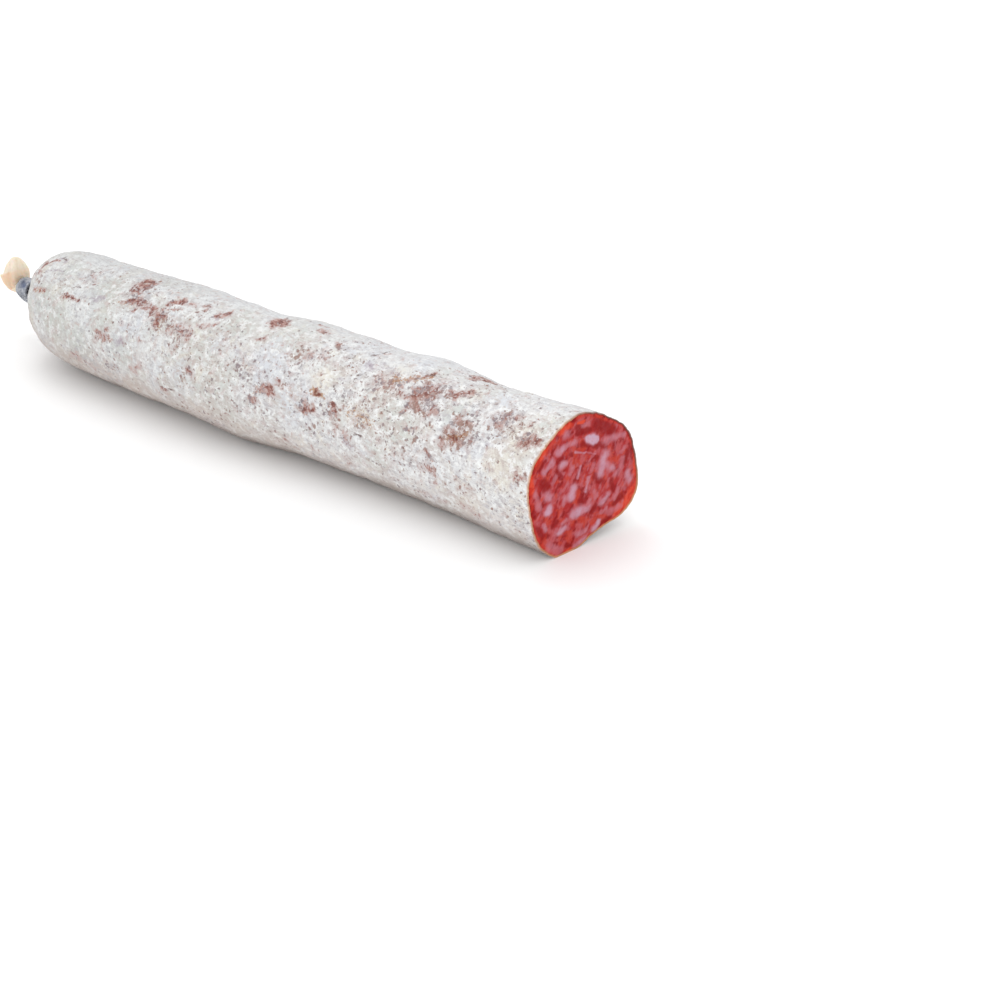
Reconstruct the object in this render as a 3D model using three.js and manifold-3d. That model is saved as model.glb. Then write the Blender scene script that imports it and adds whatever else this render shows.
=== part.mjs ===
// A part-used stick of dry-cured sausage, lying on a table. It is a firm rod of minced meat in a thin casing
// white with mould. One end is still closed: the casing is gathered into a neck and crimped in a metal clip,
// and its empty end puffs out beyond the clip. The other end has been cut across on a slight slant.
//
// Millimetres, +Z up. +X points out of the cut end, and the origin lies on the table, under the middle of the
// object's box. A station is a distance along the stick from the middle of the cut. An angle round the stick
// runs from +Y, its far side, over the top.
import * as THREE from "three";
import { mergeVertices } from "three/addons/utils/BufferGeometryUtils.js";
import Module from "manifold-3d";

const { clamp, degToRad, smoothstep } = THREE.MathUtils;

// Driving dimensions
const STICK_LENGTH = 314; // from the middle of the cut to where the dome would close
const KNOT_SPAN = 300; // the stations that the next two lists are spread over evenly
const STICK_RADII = [27.4, 26.9, 27.5, 27.7, 27.9, 27.8, 27.7, 27.2, 27.4];
const SIDE_BENDS = [-0.8, 0.5, 1.2, 0.6, -1.5, -1.9, -0.9, -0.2, 3.0]; // the middle's sideways drift
const DOME_LENGTH = 39;
const DOME_START = STICK_LENGTH - DOME_LENGTH;
const DOME_POWER = 2.3; // 2 would be an ellipse, and more is blunter
const TABLE_SINK = 0.8; // how deep the soft underside has settled flat
const CUT_SLANT = Math.tan(degToRad(14.2)); // the far side sticks out further than the near one
const CUT_LEAN = Math.tan(degToRad(-2.6)); // the top lies further back than the foot
const SLANT_FADE = 40;

// The gathered neck, the clip round it and the puffed casing end
const NECK_RADIUS = 2.5;
const NECK_FLARE = 7;
const NECK_FADE = 6;
const NECK_DROP = 1; // the neck hangs lower than the stick's middle
const CLIP_START = STICK_LENGTH + 10.3;
const CLIP_WIDTH = 7.4;
const GAP = 0.3;

// Resolution
const AROUND = 54;
const BODY_RINGS = 36;
const DOME_RINGS = 14;
const NECK_RINGS = 5;

// Lumps and dents in the stick: station, angle in degrees, height, half length and half width.
const LUMPS = [
  [302, 112, 2.4, 12, 14],
  [284, 65, -0.5, 12, 14],
  [305, 168, -1.0, 10, 14],
  [205, 60, 0.9, 12, 14],
  [200, 233, -0.5, 14, 14],
  [163, 60, -1.1, 12, 14],
  [162, 233, 1.1, 14, 14],
  [137, 60, 1.0, 11, 14],
  [127, 233, -0.5, 12, 14],
  [95, 60, -0.7, 10, 14],
  [74, 60, 1.1, 12, 14],
  [44, 60, -0.7, 10, 14],
  [240, 150, 0.6, 16, 12],
  [180, 140, -0.6, 14, 12],
  [110, 155, 0.6, 18, 12],
  [60, 140, -0.4, 14, 12],
  [225, 350, 0.9, 20, 16],
  [120, 5, -0.8, 18, 14],
  [50, 340, 0.7, 16, 14],
];

// The cut section has soft corners: order, share of the radius, and angle of one of them in degrees.
const CUT_CORNERS = [
  [3, 0.052, 106],
  [4, 0.043, 60],
  [5, 0.028, 30],
  [6, 0.014, 29],
];
const CORNER_FADE = 52;
const MIDDLE_CORNERS = 0.012; // what is left of the three corners further along, slowly turning
const CORNER_TURN = 90;

// Folds of the casing that run down the dome into the neck. Depths are shares of the radius.
const GATHERS = 9;
const DOME_GATHER = 0.012;
const NECK_GATHER = 0.1;

// The value of a smooth curve through evenly spaced values, at a station.
function along(values, station) {
  const curve = new THREE.SplineCurve(values.map((value, i) => new THREE.Vector2(i, value)));
  return curve.getPoint(clamp(station / KNOT_SPAN, 0, 1)).y;
}

// The plain radius at a station, from the cut along the dome and down the neck.
function plainRadius(station) {
  const share = clamp((station - DOME_START) / DOME_LENGTH, 0, 1);
  const dome = along(STICK_RADII, station) * Math.sqrt(1 - share ** DOME_POWER);
  const pastFlare = Math.max(0, station - STICK_LENGTH + NECK_FADE);
  const gathered = NECK_RADIUS + NECK_FLARE * Math.exp(-pastFlare / NECK_FADE);
  const neck = gathered * smoothstep(station, DOME_START, STICK_LENGTH);
  return (dome ** 4 + neck ** 4) ** 0.25;
}

// How far the corners of the section push the skin out, as a share of the radius.
function corners(station, angle) {
  const nearCut = Math.exp(-((station / CORNER_FADE) ** 2));
  const cutShape = CUT_CORNERS.reduce(
    (sum, [order, share, corner]) => sum + share * Math.cos(order * (angle - degToRad(corner))),
    0,
  );
  const middleShape = MIDDLE_CORNERS * Math.cos(3 * angle + station / CORNER_TURN);
  return nearCut * cutShape + (1 - nearCut) * middleShape;
}

function lumps(station, angle) {
  return LUMPS.reduce((sum, [place, degrees, height, halfLength, halfWidth]) => {
    const turn = angle - degToRad(degrees);
    const across = Math.atan2(Math.sin(turn), Math.cos(turn)) * along(STICK_RADII, station);
    return sum + height * Math.exp(-(((station - place) / halfLength) ** 2) - (across / halfWidth) ** 2);
  }, 0);
}

// The casing's folds: faint where the dome begins, deep at the neck.
function gathers(station, angle) {
  const faint = DOME_GATHER * smoothstep(station, STICK_LENGTH - 26, STICK_LENGTH - 8);
  const deep = NECK_GATHER * smoothstep(station, STICK_LENGTH - 8, STICK_LENGTH + 8);
  return (faint + deep) * Math.cos(GATHERS * angle + 1.4 * Math.sin(2 * angle + 0.7));
}

const ringAngles = Array.from({ length: AROUND }, (_, i) => (i / AROUND) * 2 * Math.PI);

// The height of the stick's middle. The foot of its full width lies on the table and sinks in a little.
function middleHeight(station) {
  const radius = along(STICK_RADII, station);
  const heights = ringAngles.map(
    (angle) => (radius * (1 + corners(station, angle)) + lumps(station, angle)) * Math.sin(angle),
  );
  const drop = NECK_DROP * smoothstep(station, STICK_LENGTH - 12, STICK_LENGTH + 8);
  return -Math.min(...heights) - TABLE_SINK - drop;
}

// One ring of the skin, clamped at the table: that gives the stick its flat underside.
function ring(station) {
  const radius = plainRadius(station);
  const fullness = Math.min(1, radius / along(STICK_RADII, station));
  const height = middleHeight(station);
  const slant = Math.exp(-station / SLANT_FADE);
  return ringAngles.map((angle) => {
    const shape = 1 + corners(station, angle) * fullness + gathers(station, angle);
    const out = radius * shape + lumps(station, angle) * fullness;
    const side = out * Math.cos(angle);
    const up = out * Math.sin(angle);
    const x = -station + slant * (CUT_SLANT * side + CUT_LEAN * up);
    return new THREE.Vector3(x, side + along(SIDE_BENDS, station), Math.max(0, height + up));
  });
}

// Skins a stack of rings that run against +X, and closes both ends with fans.
function loft(rings) {
  const centres = [rings[0], rings.at(-1)].map((points) =>
    points.reduce((sum, point) => sum.add(point), new THREE.Vector3()).divideScalar(points.length),
  );
  const vertices = [...rings.flat(), ...centres];
  const count = rings[0].length;
  const last = (rings.length - 1) * count;
  const faces = [];
  for (let i = 0; i < count; i += 1) {
    const j = (i + 1) % count;
    for (let start = 0; start < last; start += count) {
      const [a, b, c, d] = [start + i, start + j, start + count + j, start + count + i];
      faces.push(a, c, b, a, d, c);
    }
    faces.push(vertices.length - 2, i, j);
    faces.push(vertices.length - 1, last + j, last + i);
  }
  return new THREE.BufferGeometry().setFromPoints(vertices).setIndex(faces);
}

function stickStations() {
  const neckLength = CLIP_START + CLIP_WIDTH - STICK_LENGTH;
  const body = Array.from({ length: BODY_RINGS }, (_, i) => (i / BODY_RINGS) * DOME_START);
  // The dome's rings crowd towards its pole, where it turns in.
  const quarter = Array.from({ length: DOME_RINGS }, (_, i) => Math.sin((i / DOME_RINGS) * (Math.PI / 2)));
  const dome = quarter.map((share) => DOME_START + DOME_LENGTH * share);
  const neck = Array.from({ length: NECK_RINGS + 1 }, (_, i) => STICK_LENGTH + (i / NECK_RINGS) * neckLength);
  return [...body, ...dome, ...neck];
}

// The clip: a soft metal U, bent round the neck so that its two legs meet in a seam underneath.
const CLIP_INNER = plainRadius(CLIP_START) * (1 + NECK_GATHER) + GAP; // clear of the tallest fold
const CLIP_METAL = 1.9;
const CLIP_BEVEL = 0.5;
const CLIP_SIDES = 44;
const LEG_LENGTH = 0.42; // how much further out the pinched legs reach than the crown, as a share
const LEG_PINCH = 0.3; // how much narrower they are
const SEAM_HALF_WIDTH = 0.35;

function clipGeometry() {
  const seam = SEAM_HALF_WIDTH + CLIP_BEVEL;
  // One side of the band, from one leg over the crown to the other leg.
  const band = (radius, reach, pinch) => {
    const start = -Math.PI / 2 + Math.asin(seam / radius);
    const end = Math.PI - start;
    return Array.from({ length: CLIP_SIDES + 1 }, (_, i) => {
      const angle = THREE.MathUtils.lerp(start, end, i / CLIP_SIDES);
      const low = Math.max(0, -Math.sin(angle)) ** 2;
      const across = radius * Math.cos(angle) * (1 - pinch * low);
      const clear = Math.sign(across) * Math.max(seam, Math.abs(across));
      return new THREE.Vector2(clear, radius * Math.sin(angle) * (1 + reach * low));
    });
  };
  const outer = band(CLIP_INNER + CLIP_METAL - CLIP_BEVEL, LEG_LENGTH, LEG_PINCH);
  const inner = band(CLIP_INNER + CLIP_BEVEL, 0, 0);
  const solid = new THREE.ExtrudeGeometry(new THREE.Shape([...outer, ...inner.reverse()]), {
    depth: CLIP_WIDTH - 2 * CLIP_BEVEL,
    bevelThickness: CLIP_BEVEL,
    bevelSize: CLIP_BEVEL,
    bevelSegments: 2,
  });
  solid.translate(0, 0, CLIP_BEVEL);
  // The outline was drawn in X and Y, and is stood up to face along the stick.
  solid.rotateX(Math.PI / 2);
  solid.rotateZ(-Math.PI / 2);
  return solid;
}

// The casing's empty end: a puffed, pleated bag that stands up behind the clip, on a short stub of neck.
const BAG_HALF = new THREE.Vector3(5.5, 6.9, 9.2); // along, across and up
const BAG_FORWARD = 6.4; // from the clip's outer face to the bag's middle
const BAG_SIDE = 1.4; // from the neck's middle to the bag's middle, across
const BAG_RISE = 5.1; // the same, upwards
const BAG_LEAN = 0.1; // the bag's top leans back over the clip
const BAG_TAPER = 0.22;
const BAG_PLEATS = 7;
const PLEAT_DEPTH = 0.035;
const BAG_SEGMENTS = [32, 20];
const FLAP_HEIGHT = 1.6; // a turned-over lip across the bag's outer face

function bagGeometry() {
  const bag = new THREE.SphereGeometry(1, ...BAG_SEGMENTS).rotateX(Math.PI / 2);
  const place = bag.getAttribute("position");
  const p = new THREE.Vector3();
  for (let i = 0; i < place.count; i += 1) {
    p.fromBufferAttribute(place, i);
    const around = Math.atan2(p.y, p.x);
    const fromAxis = Math.hypot(p.x, p.y); // no pleats at the poles
    const pleat = PLEAT_DEPTH * fromAxis * Math.cos(BAG_PLEATS * around + 1.1 * Math.sin(2 * around));
    const belowLip = -0.12 - 0.25 * p.y - p.z;
    const lip = smoothstep(belowLip, -0.05, 0.12) * (1 - smoothstep(belowLip, 0.25, 0.95));
    const flap = FLAP_HEIGHT * Math.max(0, -p.x) * lip;
    const width = (1 + pleat) * (1 - BAG_TAPER * smoothstep(p.z, 0, 1));
    const up = p.z * BAG_HALF.z;
    place.setXYZ(i, p.x * BAG_HALF.x * width - flap + BAG_LEAN * up, p.y * BAG_HALF.y * width, up);
  }
  return bag;
}

const STUB_FLARE = 1.7;
const STUB_SIDES = 18;

function stubGeometry() {
  const length = BAG_FORWARD - GAP;
  const stub = new THREE.CylinderGeometry(NECK_RADIUS * STUB_FLARE, NECK_RADIUS, length, STUB_SIDES);
  // The cylinder stands along Y, and is laid along -X with its narrow end at the clip.
  stub.rotateZ(Math.PI / 2);
  return stub.translate(BAG_FORWARD - GAP - length / 2, -BAG_SIDE, -BAG_RISE);
}

const wasm = await Module();
wasm.setup();

function toSolid(geometry) {
  geometry.deleteAttribute("normal");
  geometry.deleteAttribute("uv");
  const merged = mergeVertices(geometry);
  const mesh = new wasm.Mesh({
    numProp: 3,
    vertProperties: merged.getAttribute("position").array,
    triVerts: merged.index.array,
  });
  return new wasm.Manifold(mesh);
}

function toGeometry(solid) {
  const mesh = solid.getMesh();
  const geometry = new THREE.BufferGeometry();
  geometry.setAttribute("position", new THREE.BufferAttribute(mesh.vertProperties, 3));
  return geometry.setIndex(new THREE.BufferAttribute(mesh.triVerts, 1));
}

function piece(name, geometry, look) {
  geometry.computeVertexNormals();
  const mesh = new THREE.Mesh(geometry, new THREE.MeshStandardMaterial(look));
  mesh.name = name;
  return mesh;
}

const stickLook = { color: 0xd9d5cf, roughness: 0.85, metalness: 0 };
const clipLook = { color: 0x9a9fa8, roughness: 0.35, metalness: 1 };
const tailLook = { color: 0xe0cda8, roughness: 0.5, metalness: 0 };

// Where the neck's middle runs once it has left the dome
const neckAcross = along(SIDE_BENDS, STICK_LENGTH);
const neckHeight = middleHeight(CLIP_START);

const stick = piece("sausage", loft(stickStations().map(ring)), stickLook);

const clip = piece("clip", clipGeometry(), clipLook);
clip.position.set(-CLIP_START, neckAcross, neckHeight);

const tail = piece("casing_end", toGeometry(toSolid(bagGeometry()).add(toSolid(stubGeometry()))), tailLook);
tail.position.set(-(CLIP_START + CLIP_WIDTH + BAG_FORWARD), neckAcross + BAG_SIDE, neckHeight + BAG_RISE);

// The whole is shifted so that the middle of its box stands over the origin.
const whole = new THREE.Group().add(stick, clip, tail);
const middle = new THREE.Box3().setFromObject(whole, true).getCenter(new THREE.Vector3());
whole.position.set(-middle.x, -middle.y, 0);

export default new THREE.Group().add(whole);
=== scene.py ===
"""The looks of a part-used stick of dry-cured sausage: mould-white casing, cut face, clip and casing end.

Shapes are worked out in millimetres in the stick's own frame: the cut's middle at x = 0, the stick running
towards -X, +Z up. They are moved to the row frame, in metres, when their meshes are made. A station is a
distance along the stick from the cut. An angle round the stick runs from +Y, its far side, over the top.
"""

import math
import random

import bpy
import numpy as np
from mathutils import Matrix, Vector, bvhtree, kdtree, noise


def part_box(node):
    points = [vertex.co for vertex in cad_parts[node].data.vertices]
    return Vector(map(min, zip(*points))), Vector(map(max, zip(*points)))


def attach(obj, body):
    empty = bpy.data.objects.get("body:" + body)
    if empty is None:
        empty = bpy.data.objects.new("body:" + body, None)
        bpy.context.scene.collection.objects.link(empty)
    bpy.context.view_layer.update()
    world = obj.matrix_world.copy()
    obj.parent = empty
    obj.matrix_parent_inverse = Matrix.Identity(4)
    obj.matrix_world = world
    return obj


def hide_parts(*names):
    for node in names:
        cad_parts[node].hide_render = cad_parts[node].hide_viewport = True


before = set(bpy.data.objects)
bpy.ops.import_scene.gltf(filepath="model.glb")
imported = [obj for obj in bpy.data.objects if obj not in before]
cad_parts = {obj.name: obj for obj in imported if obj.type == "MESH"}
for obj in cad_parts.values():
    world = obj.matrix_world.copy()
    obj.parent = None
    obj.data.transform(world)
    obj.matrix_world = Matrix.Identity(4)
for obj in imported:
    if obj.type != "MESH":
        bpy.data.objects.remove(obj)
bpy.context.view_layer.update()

MM = 0.001
# Without a seed of its own, vector noise differs from run to run.
noise.seed_set(4)

# The stick's driving dimensions, as in the solids
STICK_LENGTH = 314
STICK_RADII = (27.4, 26.9, 27.5, 27.7, 27.9, 27.8, 27.7, 27.2, 27.4)
SIDE_BENDS = (-0.8, 0.5, 1.2, 0.6, -1.5, -1.9, -0.9, -0.2, 3.0)
KNOT_SPAN = 300
DOME_LENGTH = 39
DOME_START = STICK_LENGTH - DOME_LENGTH
DOME_POWER = 2.3
TABLE_SINK = 0.8
CUT_SLANT = math.tan(math.radians(14.2))
CUT_LEAN = math.tan(math.radians(-2.6))
SLANT_FADE = 40
NECK_RADIUS = 2.5
NECK_FLARE = 7
NECK_FADE = 6
NECK_DROP = 1
CLIP_START = STICK_LENGTH + 10.3
CLIP_WIDTH = 7.4
CUT_CORNERS = ((3, 0.052, 106), (4, 0.043, 60), (5, 0.028, 30), (6, 0.014, 29))
CORNER_FADE = 52
MIDDLE_CORNERS = 0.012
CORNER_TURN = 90
GATHERS = 9
DOME_GATHER = 0.012
NECK_GATHER = 0.1
FAINT_GATHERS_START = STICK_LENGTH - 26
DEEP_GATHERS_START = STICK_LENGTH - 8
DEEP_GATHERS_END = STICK_LENGTH + 8

# Lumps and dents: station, angle in degrees, height, half length and half width
LUMPS = (
    (302, 112, 2.4, 12, 14), (284, 65, -0.5, 12, 14), (305, 168, -1.0, 10, 14), (205, 60, 0.9, 12, 14),
    (200, 233, -0.5, 14, 14), (163, 60, -1.1, 12, 14), (162, 233, 1.1, 14, 14), (137, 60, 1.0, 11, 14),
    (127, 233, -0.5, 12, 14), (95, 60, -0.7, 10, 14), (74, 60, 1.1, 12, 14), (44, 60, -0.7, 10, 14),
    (240, 150, 0.6, 16, 12), (180, 140, -0.6, 14, 12), (110, 155, 0.6, 18, 12), (60, 140, -0.4, 14, 12),
    (225, 350, 0.9, 20, 16), (120, 5, -0.8, 18, 14), (50, 340, 0.7, 16, 14),
)

# Resolution of the fine skin
AROUND = 264
BODY_RINGS = 284
DOME_RINGS = 60
NECK_RINGS = 22
CUT_RINGS = 88

# The photograph's camera: where it stands in the stick's own frame, and what it sees
PHOTO_SIZE = 1000
FOCAL_PIXELS = 1415
CAMERA_PLACE = np.array([245.6, -388.9, 284.1])
CAMERA_AZIMUTH = math.radians(36.17)
CAMERA_ELEVATION = math.radians(30)
SENSOR_WIDTH = 36


def smoothstep(value, low, high):
    share = np.clip((value - low) / (high - low), 0, 1)
    return share * share * (3 - 2 * share)


def along(values, station):
    """The value of a smooth curve through evenly spaced values, at stations."""
    knots = np.asarray(values, float)
    place = np.clip(np.asarray(station, float) / KNOT_SPAN, 0, 1) * (len(knots) - 1)
    start = np.minimum(place.astype(int), len(knots) - 2)
    part = place - start
    before, low = knots[np.maximum(start - 1, 0)], knots[start]
    high, after = knots[start + 1], knots[np.minimum(start + 2, len(knots) - 1)]
    rise, fall = (high - before) / 2, (after - low) / 2
    cubic = (2 * low - 2 * high + rise + fall) * part**3
    square = (-3 * low + 3 * high - 2 * rise - fall) * part**2
    return cubic + square + rise * part + low


def plain_radius(station):
    """The plain radius at stations, from the cut along the dome and down the neck."""
    share = np.clip((station - DOME_START) / DOME_LENGTH, 0, 1)
    dome = along(STICK_RADII, station) * np.sqrt(1 - share**DOME_POWER)
    past_flare = np.maximum(0, station - STICK_LENGTH + NECK_FADE)
    gathered = NECK_RADIUS + NECK_FLARE * np.exp(-past_flare / NECK_FADE)
    neck = gathered * smoothstep(station, DOME_START, STICK_LENGTH)
    return (dome**4 + neck**4) ** 0.25


def corners(station, angle):
    """How far the corners of the section push the skin out, as a share of the radius."""
    near_cut = np.exp(-((station / CORNER_FADE) ** 2))
    cut_shape = sum(share * np.cos(order * (angle - math.radians(at))) for order, share, at in CUT_CORNERS)
    middle_shape = MIDDLE_CORNERS * np.cos(3 * angle + station / CORNER_TURN)
    return near_cut * cut_shape + (1 - near_cut) * middle_shape


def lumps(station, angle):
    total = 0
    for place, degrees, height, half_length, half_width in LUMPS:
        turn = angle - math.radians(degrees)
        across = np.arctan2(np.sin(turn), np.cos(turn)) * along(STICK_RADII, station)
        far = ((station - place) / half_length) ** 2 + (across / half_width) ** 2
        total = total + height * np.exp(-far)
    return total


def gather_wave(angle):
    """The casing's gathers, unevenly spaced round the stick: 1 on their crests and -1 in their valleys."""
    return np.cos(GATHERS * angle + 1.4 * np.sin(2 * angle + 0.7))


def gathers(station, angle):
    """How far the gathers push the skin out, as a share of the radius: more on the neck than the dome."""
    faint = DOME_GATHER * smoothstep(station, FAINT_GATHERS_START, DEEP_GATHERS_START)
    deep = NECK_GATHER * smoothstep(station, DEEP_GATHERS_START, DEEP_GATHERS_END)
    return (faint + deep) * gather_wave(angle)


ring_angles = -math.pi / 2 + np.arange(AROUND) / AROUND * 2 * math.pi


def middle_height(station):
    """The height of the stick's middle at stations, so that its full width lies on the table."""
    station = np.atleast_1d(station)[:, None]
    angle = ring_angles[None, :]
    full = along(STICK_RADII, station) * (1 + corners(station, angle)) + lumps(station, angle)
    drop = NECK_DROP * smoothstep(station[:, 0], STICK_LENGTH - 12, STICK_LENGTH + 8)
    return -(full * np.sin(angle)).min(axis=1) - TABLE_SINK - drop


def skin_points(station, angle, height, relief=0.0):
    """Points of the skin in the stick's own frame. Relief is added to the radius."""
    radius = plain_radius(station)
    fullness = np.minimum(1, radius / along(STICK_RADII, station))
    shape = 1 + corners(station, angle) * fullness + gathers(station, angle)
    out = radius * shape + lumps(station, angle) * fullness + relief
    side, up = out * np.cos(angle), out * np.sin(angle)
    x = -station + np.exp(-station / SLANT_FADE) * (CUT_SLANT * side + CUT_LEAN * up)
    return np.stack([x, side + along(SIDE_BENDS, station), np.maximum(0, height + up)], axis=-1)


# Where the neck's middle runs once it has left the dome
neck_across = float(along(SIDE_BENDS, STICK_LENGTH))
neck_height = float(middle_height(CLIP_START)[0])

# The clip stands evenly about the neck, which gives the way from the stick's own frame to the row frame.
clip_low, clip_high = (np.array(corner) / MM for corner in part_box("clip"))
clip_across = (clip_low[1] + clip_high[1]) / 2
row_shift = np.array([clip_low[0] + CLIP_START + CLIP_WIDTH, clip_across - neck_across, 0])

# The camera comes first: some marks on the casing are placed by where they show in the photograph.
view_right = np.array([math.cos(CAMERA_AZIMUTH), math.sin(CAMERA_AZIMUTH), 0])
view_level = np.array([-math.sin(CAMERA_AZIMUTH), math.cos(CAMERA_AZIMUTH), 0])
view_forward = view_level * math.cos(CAMERA_ELEVATION) - np.array([0, 0, math.sin(CAMERA_ELEVATION)])
view_up = np.cross(view_right, view_forward)

camera = bpy.data.objects.new("camera", bpy.data.cameras.new("camera"))
bpy.context.scene.collection.objects.link(camera)
camera.data.sensor_width = SENSOR_WIDTH
camera.data.lens = SENSOR_WIDTH * FOCAL_PIXELS / PHOTO_SIZE
camera.data.clip_start, camera.data.clip_end = 0.01, 20
camera.location = (CAMERA_PLACE + row_shift) * MM
camera.rotation_mode = "QUATERNION"
camera.rotation_quaternion = Vector(view_forward).to_track_quat("-Z", "Y")
bpy.context.scene.camera = camera


def pixel_ray(x, y):
    """The direction from the camera through a pixel of the photograph, in the stick's own frame."""
    right, up = (x - PHOTO_SIZE / 2) / FOCAL_PIXELS, (PHOTO_SIZE / 2 - y) / FOCAL_PIXELS
    return Vector(view_forward + view_right * right + view_up * up).normalized()


def full_turn(count):
    """Evenly spaced angles of a full turn, as one row."""
    return np.linspace(0, 2 * math.pi, count, endpoint=False)[None, :]


def grid_faces(rows, columns):
    """Quads between rows of points that close on themselves. The rows run against +X."""
    faces = []
    for row in range(rows - 1):
        start = row * columns
        for i in range(columns):
            j = (i + 1) % columns
            faces.append((start + i, start + columns + i, start + columns + j, start + j))
    return faces


def closed_tube(points):
    """A tube through rows of points, with both ends closed by fans. Returns all its points and its faces."""
    rows, columns = points.shape[:2]
    flat = points.reshape(-1, 3)
    faces = grid_faces(rows, columns)
    last = (rows - 1) * columns
    for i in range(columns):
        j = (i + 1) % columns
        faces.append((i, j, len(flat)))
        faces.append((last + j, last + i, len(flat) + 1))
    middles = [flat[:columns].mean(axis=0), flat[last:].mean(axis=0)]
    return np.vstack([flat, *middles]), faces


def new_piece(name, points, faces, material):
    """A smooth mesh object from points in millimetres in the stick's own frame."""
    mesh = bpy.data.meshes.new(name)
    mesh.from_pydata(((np.asarray(points) + row_shift) * MM).tolist(), [], faces)
    mesh.shade_smooth()
    mesh.materials.append(material)
    piece = bpy.data.objects.new(name, mesh)
    bpy.context.scene.collection.objects.link(piece)
    return piece


def add_field(piece, name, values):
    """A number or vector for each vertex, for the material to read. Vertices beyond the values get 0."""
    values = np.asarray(values, np.float32)
    padded = np.zeros((len(piece.data.vertices), *values.shape[1:]), np.float32)
    padded[: len(values)] = values
    kind, key = ("FLOAT_VECTOR", "vector") if values.ndim == 2 else ("FLOAT", "value")
    piece.data.attributes.new(name, kind, "POINT").data.foreach_set(key, padded.ravel())


def fractal(points, size, octaves=3, seed=0.0):
    """Smooth noise about 0, at about -1 to 1, with features of a size in millimetres."""
    scaled = np.asarray(points) / size + seed
    values = [noise.fractal(Vector(p), 1.0, 2.0, octaves) for p in scaled.reshape(-1, 3)]
    return np.array(values).reshape(scaled.shape[:-1])


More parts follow.
